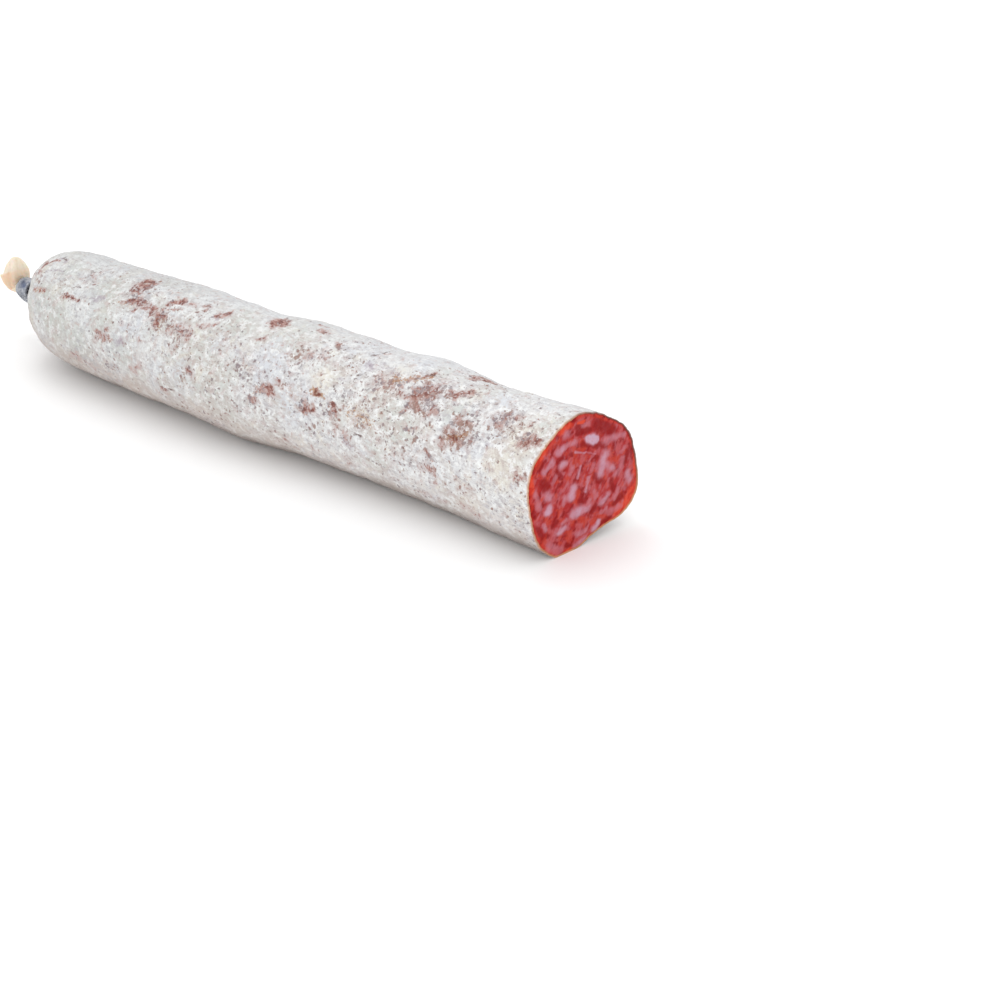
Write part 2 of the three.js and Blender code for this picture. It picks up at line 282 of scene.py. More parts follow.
class Graph:
    """A material's nodes, built in short calls. Sizes are in millimetres of the object."""

    def __init__(self, name):
        self.material = bpy.data.materials.new(name)
        self.material.use_nodes = True
        self.tree = self.material.node_tree
        self.tree.nodes.clear()
        self.place = self.node("ShaderNodeTexCoord").outputs["Object"]

    def node(self, kind, settings=None, inputs=None):
        made = self.tree.nodes.new(kind)
        for key, value in (settings or {}).items():
            setattr(made, key, value)
        for key, value in (inputs or {}).items():
            if isinstance(value, bpy.types.NodeSocket):
                self.tree.links.new(value, made.inputs[key])
            else:
                made.inputs[key].default_value = value
        return made

    def shifted(self, place, seed):
        return self.node("ShaderNodeVectorMath", None, {0: place, 1: (seed, seed, seed)}).outputs[0]

    def noise(self, size, detail=3.0, roughness=0.55, distortion=0.0, place=None, seed=0.0):
        inputs = {
            "Vector": self.shifted(place or self.place, seed),
            "Scale": 1 / (size * MM),
            "Detail": detail,
            "Roughness": roughness,
            "Distortion": distortion,
        }
        return self.node("ShaderNodeTexNoise", None, inputs).outputs["Fac"]

    def stretched(self, stretch, turn=(0, 0, 0), place=None):
        """Coordinates turned by degrees and then drawn out along some ways, for streaks."""
        angles = tuple(math.radians(a) for a in turn)
        settings = {"vector_type": "TEXTURE"}
        inputs = {"Vector": place or self.place, "Rotation": angles, "Scale": stretch}
        return self.node("ShaderNodeMapping", settings, inputs).outputs[0]

    def warped(self, size, reach, seed=0.0):
        """Coordinates pushed about by noise of a size, mostly by less than a reach, both in millimetres."""
        inputs = {"Vector": self.shifted(self.place, seed), "Scale": 1 / (size * MM), "Detail": 2.0}
        push = self.node("ShaderNodeTexNoise", None, inputs).outputs["Color"]
        centred = self.node("ShaderNodeVectorMath", {"operation": "SUBTRACT"}, {0: push, 1: (0.5, 0.5, 0.5)})
        amount = 5 * reach * MM
        inputs = {0: centred.outputs[0], 1: (amount, amount, amount), 2: self.place}
        return self.node("ShaderNodeVectorMath", {"operation": "MULTIPLY_ADD"}, inputs).outputs[0]

    def strewn(self, size, place, seed=0.0):
        """How far off the nearest of points strewn at a size is, as a share of it, and that point's lot."""
        inputs = {"Vector": self.shifted(place, seed), "Scale": 1 / (size * MM)}
        cells = self.node("ShaderNodeTexVoronoi", None, inputs)
        lot = self.node("ShaderNodeSeparateColor", None, {0: cells.outputs["Color"]})
        return cells.outputs["Distance"], lot.outputs[0]

    def field(self, name, output="Fac"):
        return self.node("ShaderNodeAttribute", {"attribute_name": name}).outputs[output]

    def math(self, operation, first, second=0.0):
        return self.node("ShaderNodeMath", {"operation": operation}, {0: first, 1: second}).outputs[0]

    def sum(self, first, *more):
        for value in more:
            first = self.math("ADD", first, value)
        return first

    def product(self, first, second):
        return self.math("MULTIPLY", first, second)

    def around_half(self, value):
        return self.math("SUBTRACT", value, 0.5)

    def step(self, value, low, high):
        """0 at low, 1 at high, and smooth between. High may be the lesser."""
        settings = {"interpolation_type": "SMOOTHSTEP"}
        inputs = {"Value": value, "From Min": low, "From Max": high}
        return self.node("ShaderNodeMapRange", settings, inputs).outputs[0]

    def scale(self, value, low, high):
        """Runs from low to high as the value runs from 0 to 1."""
        inputs = {"Value": value, "To Min": low, "To Max": high}
        return self.node("ShaderNodeMapRange", None, inputs).outputs[0]

    def ragged(self, mark, rough, amount, low, high):
        """A mark as a mask, 0 to 1, with its outline broken up by an amount of noise."""
        return self.step(self.sum(mark, self.product(self.around_half(rough), amount)), low, high)

    def mix(self, share, first, second, blend="MIX"):
        settings = {"data_type": "RGBA", "blend_type": blend}
        inputs = {0: share, 6: self.colour(first), 7: self.colour(second)}
        return self.node("ShaderNodeMix", settings, inputs).outputs[2]

    def tint(self, colour, mask, strength, second):
        """Lays a second colour over the first, at a strength where the mask is 1."""
        return self.mix(self.product(mask, strength), colour, second)

    @staticmethod
    def colour(value):
        return value if isinstance(value, bpy.types.NodeSocket) else (*value, 1)

    def bump(self, height, depth):
        """Raises the surface by up to a depth in millimetres where the height is 1."""
        inputs = {"Height": height, "Distance": depth * MM, "Strength": 1.0}
        return self.node("ShaderNodeBump", None, inputs).outputs[0]

    def finish(self, colour, roughness, normal=None, **sockets):
        inputs = {"Base Color": self.colour(colour), "Roughness": roughness}
        inputs.update({key.replace("_", " "): value for key, value in sockets.items()})
        if normal is not None:
            inputs["Normal"] = normal
        shader = self.node("ShaderNodeBsdfPrincipled", None, inputs)
        output = self.node("ShaderNodeOutputMaterial")
        self.tree.links.new(shader.outputs[0], output.inputs[0])
        return self.material


# Colours of the casing, linear
MOULD_WHITE = (0.74, 0.745, 0.745)
MOULD_BLUE = (0.66, 0.68, 0.725)
MOULD_GREEN = (0.59, 0.61, 0.575)
MOULD_CREAM = (0.74, 0.70, 0.62)
# Painted shade on the top
MOULD_GREY_TOP_SHADE = (0.57, 0.575, 0.59)
# Painted shade on the underside, in the casing's pinker tone there
MOULD_PINK_UNDERSIDE_SHADE = (0.575, 0.485, 0.44)
# Painted contact shade along the floor
MOULD_CONTACT_SHADE = (0.29, 0.245, 0.225)
MOULD_CRUMB = (0.85, 0.86, 0.86)
MOULD_THIN = (0.49, 0.47, 0.49)
MOULD_THIN_WARM = (0.54, 0.475, 0.445)
BLUSH = (0.50, 0.40, 0.39)
BARE_DARK = (0.155, 0.042, 0.031)
BARE_RED = (0.32, 0.143, 0.113)
BARE_PALE = (0.49, 0.35, 0.325)
BRUISE = (0.35, 0.29, 0.34)
RUST = (0.38, 0.185, 0.07)
FLECK = (0.21, 0.16, 0.175)
FLECK_BROWN = (0.26, 0.135, 0.10)
CRACK = (0.15, 0.098, 0.09)
# Painted shade in the neck's folds by the clip
CASING_FOLD_SHADE = (0.30, 0.30, 0.32)
CLOSED_END = (0.85, 0.857, 0.853)
CASING_EDGE = (0.62, 0.29, 0.15)
CASING_EDGE_DARK = (0.26, 0.11, 0.09)


def casing_material():
    """Chalky mould over a thin casing, worn through to the meat's red-brown in broken patches, with painted
    shade.
    """
    g = Graph("casing")
    unrolled = g.field("unrolled", "Vector")
    coarse = g.noise(3.4, 3, 0.6, 0.4)
    fine = g.noise(1.1, 3, 0.6, 0.2, seed=3.0)
    around_stick = g.noise(1.1, 3, 0.6, 0.4, g.stretched((1, 3.0, 1), (0, 0, 12), unrolled), 7.0)
    along_stick = g.noise(1.0, 3, 0.6, 0.4, g.stretched((4.5, 1, 1), (0, 0, -6), unrolled), 8.0)

    # The mould's own tones, and painted shade on the underside
    tone = g.noise(24, 3, 0.55, 0.5, seed=1.0)
    blue = g.noise(17, 3, 0.55, 0.5, seed=5.0)
    cream = g.noise(8, 3, 0.6, 0.5, seed=9.0)
    colour = g.tint(MOULD_WHITE, g.step(tone, 0.47, 0.64), 0.7, MOULD_GREEN)
    colour = g.tint(colour, g.step(blue, 0.52, 0.68), 0.7, MOULD_BLUE)
    colour = g.tint(colour, g.step(cream, 0.52, 0.7), 0.7, MOULD_CREAM)
    for name, tone_colour in (("green", MOULD_GREEN), ("blue", MOULD_BLUE), ("cream", MOULD_CREAM)):
        colour = g.tint(colour, g.ragged(g.field(name), coarse, 1.2, 0.05, 1.0), 0.85, tone_colour)
    # Painted shade on the underside and the dome's near rim, with the casing's pinker tone there
    colour = g.tint(colour, g.field("under"), g.scale(coarse, 0.5, 1.1), MOULD_PINK_UNDERSIDE_SHADE)
    cloudy = g.noise(7.0, 3, 0.6, 0.4, seed=23.0)
    colour = g.tint(colour, g.step(cloudy, 0.50, 0.64), 0.3, MOULD_THIN_WARM)

    # Thin places, and crumbs of thick mould between them
    crumb = g.noise(2.6, 4, 0.62, 0.2, seed=11.0)
    thin_noise = g.sum(g.product(g.noise(2.6, 4, 0.66, 0.4, seed=21.0), 0.6), g.product(along_stick, 0.4))
    thin = g.step(g.sum(thin_noise, g.product(g.field("flecked"), 0.06)), 0.49, 0.63)
    thin_colour = g.mix(g.step(tone, 0.42, 0.58), MOULD_THIN, MOULD_THIN_WARM)
    colour = g.tint(colour, thin, 0.85, thin_colour)
    colour = g.tint(colour, g.step(crumb, 0.48, 0.64), g.scale(g.field("under"), 0.85, 0.35), MOULD_CRUMB)
    colour = g.tint(colour, g.step(fine, 0.5, 0.34), 0.4, thin_colour)
    # Painted shade on the top, in grey streaks along the stick, partly the mould's own thin grey lines
    streaky = g.scale(g.step(along_stick, 0.42, 0.62), 0.45, 0.95)
    colour = g.tint(colour, g.field("top_shade"), streaky, MOULD_GREY_TOP_SHADE)
    colour = g.mix(g.field("towards_clip"), colour, CLOSED_END, "MULTIPLY")

    # Thin mould lets the red through round the bare patches and where flecks crowd.
    bare = g.field("bare")
    near = g.ragged(bare, coarse, 1.6, 0.05, 0.7)
    crowd = g.sum(g.field("flecked"), g.product(near, 0.6))
    blush = g.step(g.sum(g.product(crowd, 0.07), coarse), 0.54, 0.70)
    colour = g.mix(g.math("MAXIMUM", g.product(near, 0.55), g.product(blush, 0.4)), colour, BLUSH)

    # Flecks, purple-grey or brown, each with its own size, and finer pepper between them
    ragged_place = g.warped(1.3, 0.5, 31.0)
    brown = g.step(g.noise(6, 2, 0.5, seed=15.0), 0.42, 0.58)
    fleck = 0.0
    for size, least, seed in ((4.4, -0.17, 0.9), (2.4, -0.05, 0.4), (1.3, -0.09, 0.7)):
        far, lot = g.strewn(size, ragged_place, seed)
        reach = g.sum(g.product(lot, 0.22), g.product(crowd, 0.25), least)
        spot = g.product(g.step(g.math("SUBTRACT", far, reach), 0.09, -0.06), g.scale(lot, 0.5, 1.0))
        fleck = g.math("MAXIMUM", fleck, spot)
    colour = g.tint(colour, fleck, 0.85, g.mix(brown, FLECK, FLECK_BROWN))
    colour = g.tint(colour, g.ragged(g.field("bruise"), fine, 1.8, 0.25, 0.95), 0.75, BRUISE)
    colour = g.tint(colour, g.ragged(g.field("rust"), fine, 3.0, 0.45, 0.95), 0.75, RUST)

    # Bare patches: broken at their edges, dark in places, with crumbs of mould left on them
    broken = g.sum(g.product(fine, 0.35), g.product(around_stick, 0.25), g.product(coarse, 0.4))
    crumbs_left = g.scale(g.step(crumb, 0.55, 0.66), 1.0, 0.35)
    open_skin = g.product(g.ragged(bare, broken, 6.0, 0.45, 0.92), crumbs_left)
    shade = g.sum(g.noise(2.4, 3, 0.7, 0.3, seed=17.0), g.product(g.sum(bare, -0.75), -0.28))
    red = g.mix(g.step(shade, 0.38, 0.50), BARE_DARK, BARE_RED)
    red = g.mix(g.step(shade, 0.48, 0.60), red, BARE_PALE)
    colour = g.tint(colour, open_skin, 0.92, red)
    colour = g.tint(colour, g.ragged(g.field("crack"), fine, 1.5, 0.46, 0.9), 0.88, CRACK)
    # Painted contact shade along the line where the stick rests on the floor
    colour = g.tint(colour, g.field("contact_shade"), g.scale(coarse, 0.7, 1.1), MOULD_CONTACT_SHADE)
    # Painted shade in the neck's gathers next to the clip, deepest in their valleys
    colour = g.mix(g.field("fold"), colour, CASING_FOLD_SHADE)
    colour = g.mix(g.field("edge"), colour, g.mix(g.field("edge_dark"), CASING_EDGE, CASING_EDGE_DARK))

    # Relief finer than the mesh
    height = g.sum(g.product(crumb, 0.6), g.product(thin, -0.12), g.product(fine, 0.25))
    height = g.sum(height, g.product(open_skin, -0.14), g.product(fleck, -0.12))
    return g.finish(colour, g.scale(open_skin, 0.88, 0.6), g.bump(height, 0.8), Specular_IOR_Level=0.25)


# Colours of the cut face, linear
LEAN_DEEP = (0.235, 0.003, 0.004)
LEAN_RED = (0.36, 0.018, 0.019)
LEAN_ROSE = (0.44, 0.078, 0.086)
LEAN_ORANGE = (0.49, 0.047, 0.026)
FAT_PINK = (0.47, 0.145, 0.178)
FAT_LILAC = (0.53, 0.34, 0.435)
RIM_RED = (0.52, 0.03, 0.014)
RIM_ORANGE = (0.63, 0.06, 0.028)
RIM_CASING = (0.58, 0.26, 0.14)
RIM_CASING_DARK = (0.24, 0.05, 0.045)


def meat_material():
    """Moist minced lean with soft lilac-pink lumps of fat, and an orange-red rim under the casing."""
    g = Graph("meat")
    slanted = g.stretched((1, 1, 1.8), (-32, 0, 0))
    grain = g.noise(0.8, 3, 0.6, 0.3)
    mince = g.noise(2.4, 3, 0.5, 0.15, slanted, 4.0)
    blotch = g.noise(4.5, 3, 0.55, 0.6, seed=2.0)
    ragged = g.sum(g.product(g.around_half(grain), 0.35), g.product(g.around_half(mince), 0.65))

    lean = g.mix(g.step(mince, 0.38, 0.62), LEAN_RED, LEAN_ROSE)
    deeper = g.step(g.noise(2.8, 3, 0.55, 0.2, slanted, 8.0), 0.49, 0.38)
    lean = g.tint(lean, deeper, 0.85, LEAN_DEEP)
    lean = g.tint(lean, g.step(blotch, 0.50, 0.64), 0.7, LEAN_ORANGE)
    deep = g.step(g.sum(g.field("deep"), ragged), 0.1, 0.95)
    lean = g.tint(lean, deep, 0.85, LEAN_DEEP)
    rim = g.ragged(g.sum(g.field("rim"), ragged), blotch, 1.1, 0.2, 1.0)
    lean = g.tint(lean, rim, 0.75, g.mix(g.step(mince, 0.38, 0.55), LEAN_DEEP, RIM_RED))
    glow = g.step(g.sum(g.field("glow"), ragged), 0.1, 0.95)
    lean = g.tint(lean, glow, 0.95, g.mix(g.step(mince, 0.40, 0.56), RIM_RED, RIM_ORANGE))

    # Small bits of fat between the large lumps
    bits = g.noise(2.8, 2, 0.5, 0.2, slanted, 6.0)
    fewer = g.scale(g.math("MAXIMUM", rim, deep), 0.5, 0.08)
    colour = g.tint(lean, g.step(bits, 0.53, 0.69), fewer, FAT_PINK)
    lump = g.step(g.sum(g.field("fat"), g.product(ragged, 1.1)), 0.05, 0.85)
    bright = g.step(g.sum(g.field("bright"), g.product(ragged, 0.8)), 0.05, 1.05)
    fat = g.mix(bright, FAT_PINK, FAT_LILAC)
    fat = g.tint(fat, g.step(grain, 0.50, 0.68), 0.3, LEAN_ROSE)
    colour = g.tint(colour, lump, g.scale(bright, 0.5, 0.98), fat)
    edge = g.mix(g.field("edge_dark"), RIM_CASING, RIM_CASING_DARK)
    colour = g.mix(g.field("casing_edge"), colour, edge)

    height = g.sum(g.product(grain, 0.5), g.product(lump, 0.35), g.product(mince, 0.5))
    sockets = {"Specular IOR Level": 0.1, "Subsurface Weight": 0.06, "Subsurface Scale": 0.001}
    return g.finish(colour, g.scale(grain, 0.35, 0.6), g.bump(height, 0.35), **sockets)


# Colours of the clip and of the empty casing, linear
METAL_DULL = (0.20, 0.215, 0.26)
METAL_LIGHT = (0.45, 0.465, 0.50)
# Painted shade of a dint
METAL_DINT_SHADE = (0.08, 0.105, 0.19)
# Painted shade in the grooves
METAL_GROOVE_SHADE = (0.04, 0.04, 0.045)
SKIN_CREAM = (0.71, 0.61, 0.445)
SKIN_PALE = (0.77, 0.68, 0.55)
SKIN_DOUBLED = (0.77, 0.53, 0.36)
# Painted shade in the pleats' valleys
SKIN_PLEAT_SHADE = (0.54, 0.42, 0.26)
# A painted highlight
SKIN_PAINTED_HIGHLIGHT = (0.86, 0.76, 0.67)
SKIN_VEIN = (0.58, 0.44, 0.28)


def clip_material():
    """Soft grey metal with a blue cast, dull and scratched, with painted shade in its grooves and a dint."""
    g = Graph("clip_metal")
    scuff = g.noise(1.4, 4, 0.65, 0.5)
    scratch = g.noise(0.35, 2, 0.6, 0.2, g.stretched((1, 5, 1)), 2.0)
    colour = g.mix(g.step(scuff, 0.35, 0.65), METAL_DULL, METAL_LIGHT)
    # A dint drawn only as painted shade
    colour = g.tint(colour, g.field("dint_shade"), 0.85, METAL_DINT_SHADE)
    # Painted shade in the teeth marks and the crease
    colour = g.tint(colour, g.field("groove_shade"), 0.85, METAL_GROOVE_SHADE)
    return g.finish(colour, g.scale(scratch, 0.4, 0.65), g.bump(scratch, 0.05), Metallic=0.6)


def bare_casing_material():
    """Empty casing: a thin, pleated, translucent skin, cream above, orange-beige where it doubles up;
    painted pleat shade and highlight.
    """
    g = Graph("bare_casing")
    cloud = g.noise(4, 3, 0.5, 0.5)
    veins = g.noise(0.9, 3, 0.6, 0.3, g.stretched((1, 1, 4)), 2.0)
    colour = g.mix(g.step(cloud, 0.40, 0.60), SKIN_CREAM, SKIN_PALE)
    colour = g.tint(colour, g.ragged(g.field("low"), cloud, 0.9, 0.05, 0.8), 0.9, SKIN_DOUBLED)
    # Painted shade in the pleats' valleys
    colour = g.tint(colour, g.field("pleat"), 0.55, SKIN_PLEAT_SHADE)
    # A painted highlight on the bag
    colour = g.tint(colour, g.field("painted_highlight"), 0.8, SKIN_PAINTED_HIGHLIGHT)
    colour = g.tint(colour, g.step(veins, 0.5, 0.66), 0.25, SKIN_VEIN)
    sockets = {
        "Subsurface Weight": 0.25,
        "Subsurface Scale": 0.002,
        "Coat Weight": 0.2,
        "Coat Roughness": 0.3,
    }
    return g.finish(colour, g.scale(veins, 0.36, 0.5), g.bump(veins, 0.12), **sockets)


# Marks on the casing, each a stroke by where its ends show in the photograph, in pixels, then its half width
# in millimetres and its strength. Bare: worn through to red-brown.
BARE_STROKES = (
    (46, 263, 39, 270, 1.3, 1.15), (57, 261, 46, 264, 1.0, 1.0), (41, 271, 33, 276, 1.1, 0.9),
    (35, 288, 44, 290, 1.6, 0.85), (40, 266, 38, 269, 0.9, 1.3), (31, 277, 35, 273, 0.9, 0.9),
    (61, 295, 79, 300, 1.0, 1.45), (70, 296, 75, 302, 0.7, 0.9), (93, 274, 94, 283, 1.6, 0.65),
    (135, 291, 151, 282, 2.2, 1.1), (134, 282, 157, 277, 0.7, 0.6), (133, 288, 146, 281, 2.2, 0.9),
    (141, 291, 155, 284, 2.0, 0.8), (117, 297, 127, 291, 0.8, 0.7), (123, 302, 133, 301, 1.2, 0.8),
    (133, 301, 145, 306, 2.4, 0.95), (133, 310, 140, 305, 1.4, 0.9), (151, 307, 156, 310, 1.9, 1.0),
    (152, 313, 164, 316, 1.9, 0.9), (158, 316, 156, 326, 1.8, 0.8), (161, 311, 182, 309, 0.8, 0.85),
    (169, 304, 183, 302, 1.9, 0.95), (177, 296, 183, 302, 0.9, 0.8), (188, 304, 208, 307, 2.0, 0.5),
    (204, 308, 210, 309, 1.4, 0.7), (198, 327, 216, 324, 1.4, 0.75), (217, 315, 229, 313, 1.9, 1.1),
    (172, 327, 188, 334, 3.4, 0.62), (98, 334, 109, 338, 2.1, 0.85), (106, 328, 107, 329, 1.2, 0.8),
    (74, 355, 94, 367, 2.0, 0.5), (133, 370, 140, 366, 2.2, 0.6), (163, 388, 174, 392, 1.0, 0.95),
    (187, 370, 192, 374, 1.8, 0.95), (273, 322, 287, 320, 2.4, 1.1), (275, 325, 284, 324, 2.2, 0.9),
    (254, 340, 266, 338, 1.5, 0.85), (320, 325, 329, 327, 1.2, 0.8), (322, 330, 326, 333, 1.9, 0.8),
    (338, 343, 341, 348, 1.7, 0.85), (374, 355, 389, 353, 0.9, 0.9), (266, 386, 271, 391, 2.0, 1.05),
    (277, 379, 281, 387, 1.6, 0.65), (248, 397, 258, 402, 1.6, 0.7), (255, 391, 264, 389, 1.1, 0.75),
    (304, 408, 312, 409, 1.9, 0.85), (315, 391, 320, 393, 1.3, 1.5), (331, 403, 335, 413, 1.7, 0.95),
    (302, 352, 325, 356, 2.4, 0.4), (379, 380, 398, 392, 3.6, 0.55), (392, 378, 416, 378, 2.2, 0.5),
    (417, 377, 435, 375, 1.6, 0.7), (400, 394, 406, 397, 1.6, 0.85), (416, 396, 431, 392, 3.4, 0.8),
    (429, 387, 427, 402, 2.6, 0.75), (408, 408, 417, 410, 1.9, 0.7), (427, 408, 435, 412, 2.6, 0.75),
    (403, 428, 416, 428, 1.0, 0.7), (449, 395, 472, 392, 2.0, 0.75), (470, 378, 488, 381, 2.5, 0.75),
    (457, 420, 469, 425, 2.1, 0.75), (449, 431, 469, 438, 2.5, 0.72), (442, 444, 455, 441, 2.3, 0.72),
    (471, 430, 478, 423, 1.2, 0.7), (479, 413, 483, 417, 1.3, 0.7), (424, 467, 432, 470, 2.2, 0.75),
    (427, 452, 429, 460, 1.6, 0.55), (428, 481, 437, 484, 1.2, 0.55), (459, 486, 472, 491, 2.8, 0.45),
    (505, 416, 519, 419, 2.2, 0.8), (496, 423, 500, 427, 1.8, 0.65), (522, 439, 536, 443, 3.0, 0.65),
    (530, 424, 546, 419, 1.6, 0.4), (517, 479, 524, 478, 1.4, 0.7), (420, 492, 444, 502, 1.9, 0.5),
    (464, 505, 483, 519, 2.2, 0.4), (345, 459, 352, 465, 2.2, 0.55), (312, 447, 318, 451, 1.4, 0.5),
    (284, 438, 291, 444, 1.6, 0.45), (338, 431, 345, 437, 3.0, 0.42), (203, 307, 207, 309, 1.5, 0.7),
    (136, 356, 137, 359, 1.4, 0.5),
)
BRUISE_STROKES = (
    (117, 343, 122, 341, 2.2, 0.85), (81, 296, 101, 300, 0.9, 0.8), (48, 271, 63, 273, 1.0, 0.8),
    (213, 317, 217, 318, 1.5, 0.7), (368, 364, 371, 369, 1.9, 0.9), (338, 378, 344, 381, 1.4, 0.6),
    (345, 442, 352, 448, 2.4, 0.6), (384, 468, 393, 473, 2.0, 0.5), (513, 485, 515, 487, 1.8, 0.6),
    (62, 259, 66, 261, 1.3, 0.9), (95, 299, 102, 298, 1.2, 1.1), (61, 307, 64, 319, 1.0, 0.6),
    (380, 366, 396, 374, 2.2, 0.5), (484, 441, 491, 447, 1.1, 0.6), (455, 380, 440, 384, 2.0, 0.4),
    (232, 345, 240, 350, 2.0, 0.4), (255, 355, 262, 361, 1.6, 0.45),
)
RUST_STROKES = (
    (313, 391, 322, 394, 2.0, 1.1), (255, 392, 261, 390, 1.5, 0.7), (351, 415, 370, 422, 3.2, 0.6),
    (393, 379, 432, 377, 2.0, 0.8), (36, 289, 43, 291, 1.6, 0.8), (164, 389, 173, 391, 0.9, 0.8),
    (450, 436, 466, 436, 2.2, 0.75), (177, 300, 182, 303, 1.5, 0.5), (62, 296, 77, 300, 1.3, 0.5),
    (121, 300, 131, 306, 1.8, 0.5), (157, 322, 159, 330, 1.8, 0.6), (455, 510, 457, 512, 1.2, 0.7),
)
CRACK_STROKES = (
    (353, 382, 358, 375, 0.45, 1.0), (358, 375, 366, 373, 0.4, 0.9), (342, 352, 349, 347, 0.5, 1.0),
    (349, 358, 354, 358, 0.45, 0.9), (372, 356, 387, 352, 0.5, 1.0), (342, 400, 348, 404, 0.45, 0.9),
    (354, 434, 361, 436, 0.45, 1.1), (384, 410, 390, 412, 0.45, 0.9), (334, 386, 335, 391, 0.55, 1.0),
    (304, 430, 309, 431, 0.5, 0.8), (425, 416, 425, 424, 0.42, 0.85), (425, 424, 436, 432, 0.42, 0.85),
    (509, 427, 515, 432, 0.5, 0.9), (426, 374, 447, 378, 0.45, 0.9), (164, 365, 160, 380, 0.4, 0.7),
    (366, 457, 379, 465, 0.5, 0.8), (52, 293, 56, 290, 0.5, 0.8), (188, 361, 190, 357, 0.5, 0.8),
    (167, 388, 174, 391, 0.5, 0.9), (247, 398, 251, 404, 0.5, 0.7), (402, 447, 412, 462, 0.5, 0.7),
    (72, 288, 77, 286, 0.45, 0.9), (77, 286, 81, 288, 0.45, 0.9), (90, 272, 99, 272, 0.5, 0.8),
    (91, 273, 94, 283, 0.45, 0.9), (64, 258, 66, 260, 0.8, 1.1), (98, 274, 96, 281, 0.4, 0.7),
    (39, 288, 35, 293, 0.4, 0.7), (135, 282, 157, 277, 0.4, 0.7), (123, 314, 127, 320, 0.4, 0.6),
    (330, 337, 345, 341, 0.4, 0.6),
)
# Wider tints of the mould: middle, then half width in millimetres and strength
GREEN_TINTS = (
    (78, 345, 15, 1.0), (56, 322, 14, 1.0), (108, 288, 13, 0.8), (241, 326, 8, 1.0), (172, 284, 7, 0.8),
    (246, 312, 7, 0.6), (455, 410, 8, 0.9), (400, 425, 10, 0.6), (230, 372, 8, 0.6), (510, 395, 6, 0.5),
    (42, 300, 12, 0.9), (100, 322, 12, 0.7), (120, 352, 12, 0.7), (70, 270, 10, 0.7), (190, 288, 8, 0.6),
)
BLUE_TINTS = (
    (268, 366, 14, 1.0), (292, 402, 12, 0.9), (135, 322, 12, 0.8), (218, 342, 10, 0.7), (378, 347, 10, 0.9),
    (420, 364, 9, 0.9), (503, 402, 9, 0.9), (158, 372, 8, 0.6), (360, 445, 9, 0.5),
)
CREAM_TINTS = (
    (324, 378, 6, 1.0), (522, 440, 10, 0.9), (470, 398, 6, 0.6), (500, 470, 12, 0.8), (245, 375, 6, 0.6),
    (400, 372, 8, 0.7), (470, 500, 12, 0.6), (360, 415, 7, 0.6), (520, 510, 12, 0.5), (55, 290, 4, 0.8),
)

# Where flecks crowd, in the same way
FLECK_ZONES = (
    (300, 355, 9, 0.9), (325, 350, 7, 0.7), (345, 346, 6, 0.7), (262, 385, 7, 0.9), (300, 400, 9, 0.8),
    (330, 410, 9, 1.0), (362, 418, 8, 0.9), (392, 386, 10, 1.0), (430, 398, 12, 1.0), (462, 430, 12, 1.0),
    (505, 425, 12, 0.9), (525, 442, 8, 0.9), (250, 398, 7, 0.8), (205, 312, 8, 0.8), (160, 320, 9, 0.9),
    (135, 300, 8, 0.8), (178, 338, 7, 0.8), (130, 340, 6, 0.6), (104, 334, 6, 0.7), (235, 345, 6, 0.6),
    (290, 375, 8, 0.6), (350, 365, 8, 0.6), (345, 440, 8, 0.5), (430, 455, 8, 0.7), (380, 440, 8, 0.5),
    (372, 395, 13, 0.8), (392, 425, 11, 0.8), (350, 398, 9, 0.8), (312, 430, 9, 0.7), (400, 455, 9, 0.7),
    (235, 405, 9, 0.6), (272, 425, 8, 0.6), (215, 360, 9, 0.6), (190, 350, 9, 0.6), (415, 440, 9, 0.7),
    (40, 278, 6, 0.7), (150, 290, 8, 0.6), (480, 400, 9, 0.6), (165, 380, 7, 0.5), (440, 480, 8, 0.4),
    (225, 332, 9, 0.8), (245, 372, 9, 0.8), (185, 376, 8, 0.7), (172, 352, 8, 0.7), (112, 366, 9, 0.6),
    (212, 388, 8, 0.7), (62, 280, 7, 0.5), (95, 275, 7, 0.5),
)


# How much wider than its half width each kind of mark fades out, and how far apart, in pixels, the points
# of a wide mark and of a fine one are painted
STROKE_SPREAD = {"bare": 1.85, "bruise": 1.7, "rust": 1.8, "crack": 2.1}
TINT_SPREAD = 1.4
FAT_SPREAD = 1.8
BRIGHT_SPREAD = 1.6
WIDE_STEP = 2.5
FINE_STEP = 1.2

# Marks on the sides that the photograph doesn't show: how many of each kind and the seed of their places,
# then in millimetres how far a crack reaches, and the radius that the marks are laid out on
HIDDEN_MARKS = (("bare", 90, 11), ("bruise", 24, 12), ("rust", 16, 13), ("crack", 40, 14))
HIDDEN_CRACK_REACH = 0.9
MIDDLING_RADIUS = 27.5

# How far the marks sink into the skin, in millimetres
BARE_DEPTH = 0.16
CRACK_DEPTH = 0.22
# The casing at the cut: how far it turns in, as a share of the radius, then in millimetres how far its edge
# stands out past the cut, and how far behind the cut the shell is closed
TURN_IN = 0.016
TURN_OUT = 0.1
CAP_DEPTH = 1.2


def paint(tree, values, middle, reach, strength):
    """Raises values to the strength round a point, fading out at the reach."""
    for _, index, distance in tree.find_range(middle, reach):
        fade = 1 - float(smoothstep(distance / reach, 0.1, 1.0))
        values[index] = max(values[index], strength * fade)


def paint_line(tree, values, ends, reach, strength, cast, step=WIDE_STEP):
    """Paints along a straight line between two pixels, cast onto the surface."""
    x0, y0, x1, y1 = ends
    count = int(math.hypot(x1 - x0, y1 - y0) / step) + 1
    for share in np.linspace(0, 1, count):
        place = cast(x0 + (x1 - x0) * share, y0 + (y1 - y0) * share)
        if place is not None:
            swell = 1 + 0.35 * noise.noise(place * 0.6)
            paint(tree, values, place, reach * swell, strength)


